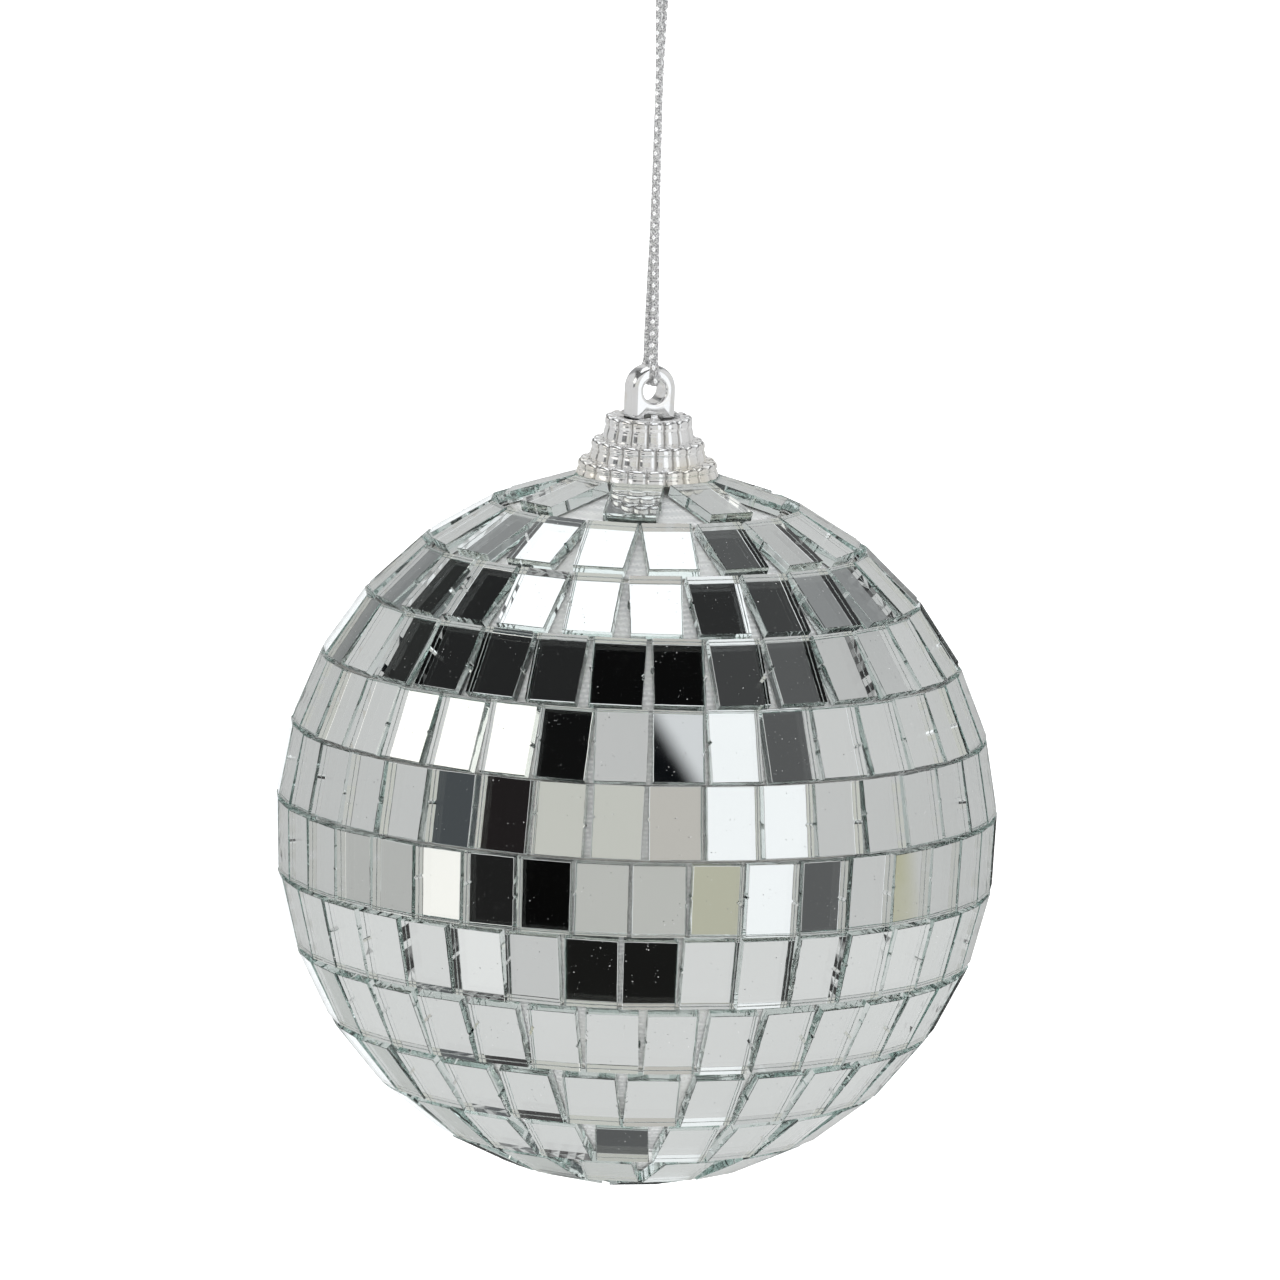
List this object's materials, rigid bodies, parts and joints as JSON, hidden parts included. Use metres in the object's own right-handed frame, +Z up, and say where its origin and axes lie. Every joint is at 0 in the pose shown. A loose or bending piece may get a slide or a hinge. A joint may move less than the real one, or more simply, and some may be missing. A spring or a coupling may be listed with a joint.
{
  "type": "small hanging mirror ball",
  "caption": "Small decorative mirror ball: rows of flat glass mirror tiles on a foam core, with a three-tier fluted cap, a hanger eye and a metallic cord loop to hang it by.",
  "frame": {"origin": "inside top of the cord's hanging loop, where a hook bears", "axes": "+Z up along the cord; Y along the hole of the hanger eye; the ball's centre is at Z -0.120 m"},
  "size_m": [0.0798, 0.0798, 0.1659],
  "materials": {
    "mirror_glass": "clear glass, silvered on the back",
    "backing_fabric": "pale grey woven strip",
    "white_foam": "expanded polystyrene",
    "clear_glue": "clear hot-melt glue",
    "silver_cap": "vacuum-metallised silver plastic",
    "metallic_cord": "silver metallic braid"
  },
  "bodies": {
    "cord": {"cord_front_strand": "metallic_cord", "cord_back_strand": "metallic_cord", "cord_knot": "metallic_cord", "cord_tails": "metallic_cord"},
    "bight": {"cord_bight": "metallic_cord"},
    "ball": {"foam_core": "white_foam", "glue_coat": "clear_glue", "top_patch": "backing_fabric", "bottom_patch": "backing_fabric", "backing_strip_01": "backing_fabric", "backing_strip_02": "backing_fabric", "backing_strip_03": "backing_fabric", "backing_strip_04": "backing_fabric", "backing_strip_05": "backing_fabric", "backing_strip_06": "backing_fabric", "backing_strip_07": "backing_fabric", "backing_strip_08": "backing_fabric", "backing_strip_09": "backing_fabric", "backing_strip_10": "backing_fabric", "backing_strip_11": "backing_fabric", "backing_strip_12": "backing_fabric", "backing_strip_13": "backing_fabric", "stem_glue": "clear_glue", "tile_row_01": "mirror_glass", "tile_row_02": "mirror_glass", "tile_row_03": "mirror_glass", "tile_row_04": "mirror_glass", "tile_row_05": "mirror_glass", "tile_row_06": "mirror_glass", "tile_row_07": "mirror_glass", "tile_row_08": "mirror_glass", "tile_row_09": "mirror_glass", "tile_row_10": "mirror_glass", "tile_row_11": "mirror_glass", "tile_row_12": "mirror_glass", "tile_row_13": "mirror_glass", "bottom_tile": "mirror_glass", "fluted_cap": "silver_cap", "hanger_eye": "silver_cap"}
  },
  "joints": [
    {"name": "cord_twist", "type": "hinge", "parent": "cord", "child": "bight", "pos_m": [0, 0, -0.063], "axis": [0, 0, 1], "continuous": true},
    {"name": "eye_swing", "type": "hinge", "parent": "bight", "child": "ball", "pos_m": [0, 0, -0.07145], "axis": [0, 1, 0], "range_deg": [-100, 100]}
  ]
}
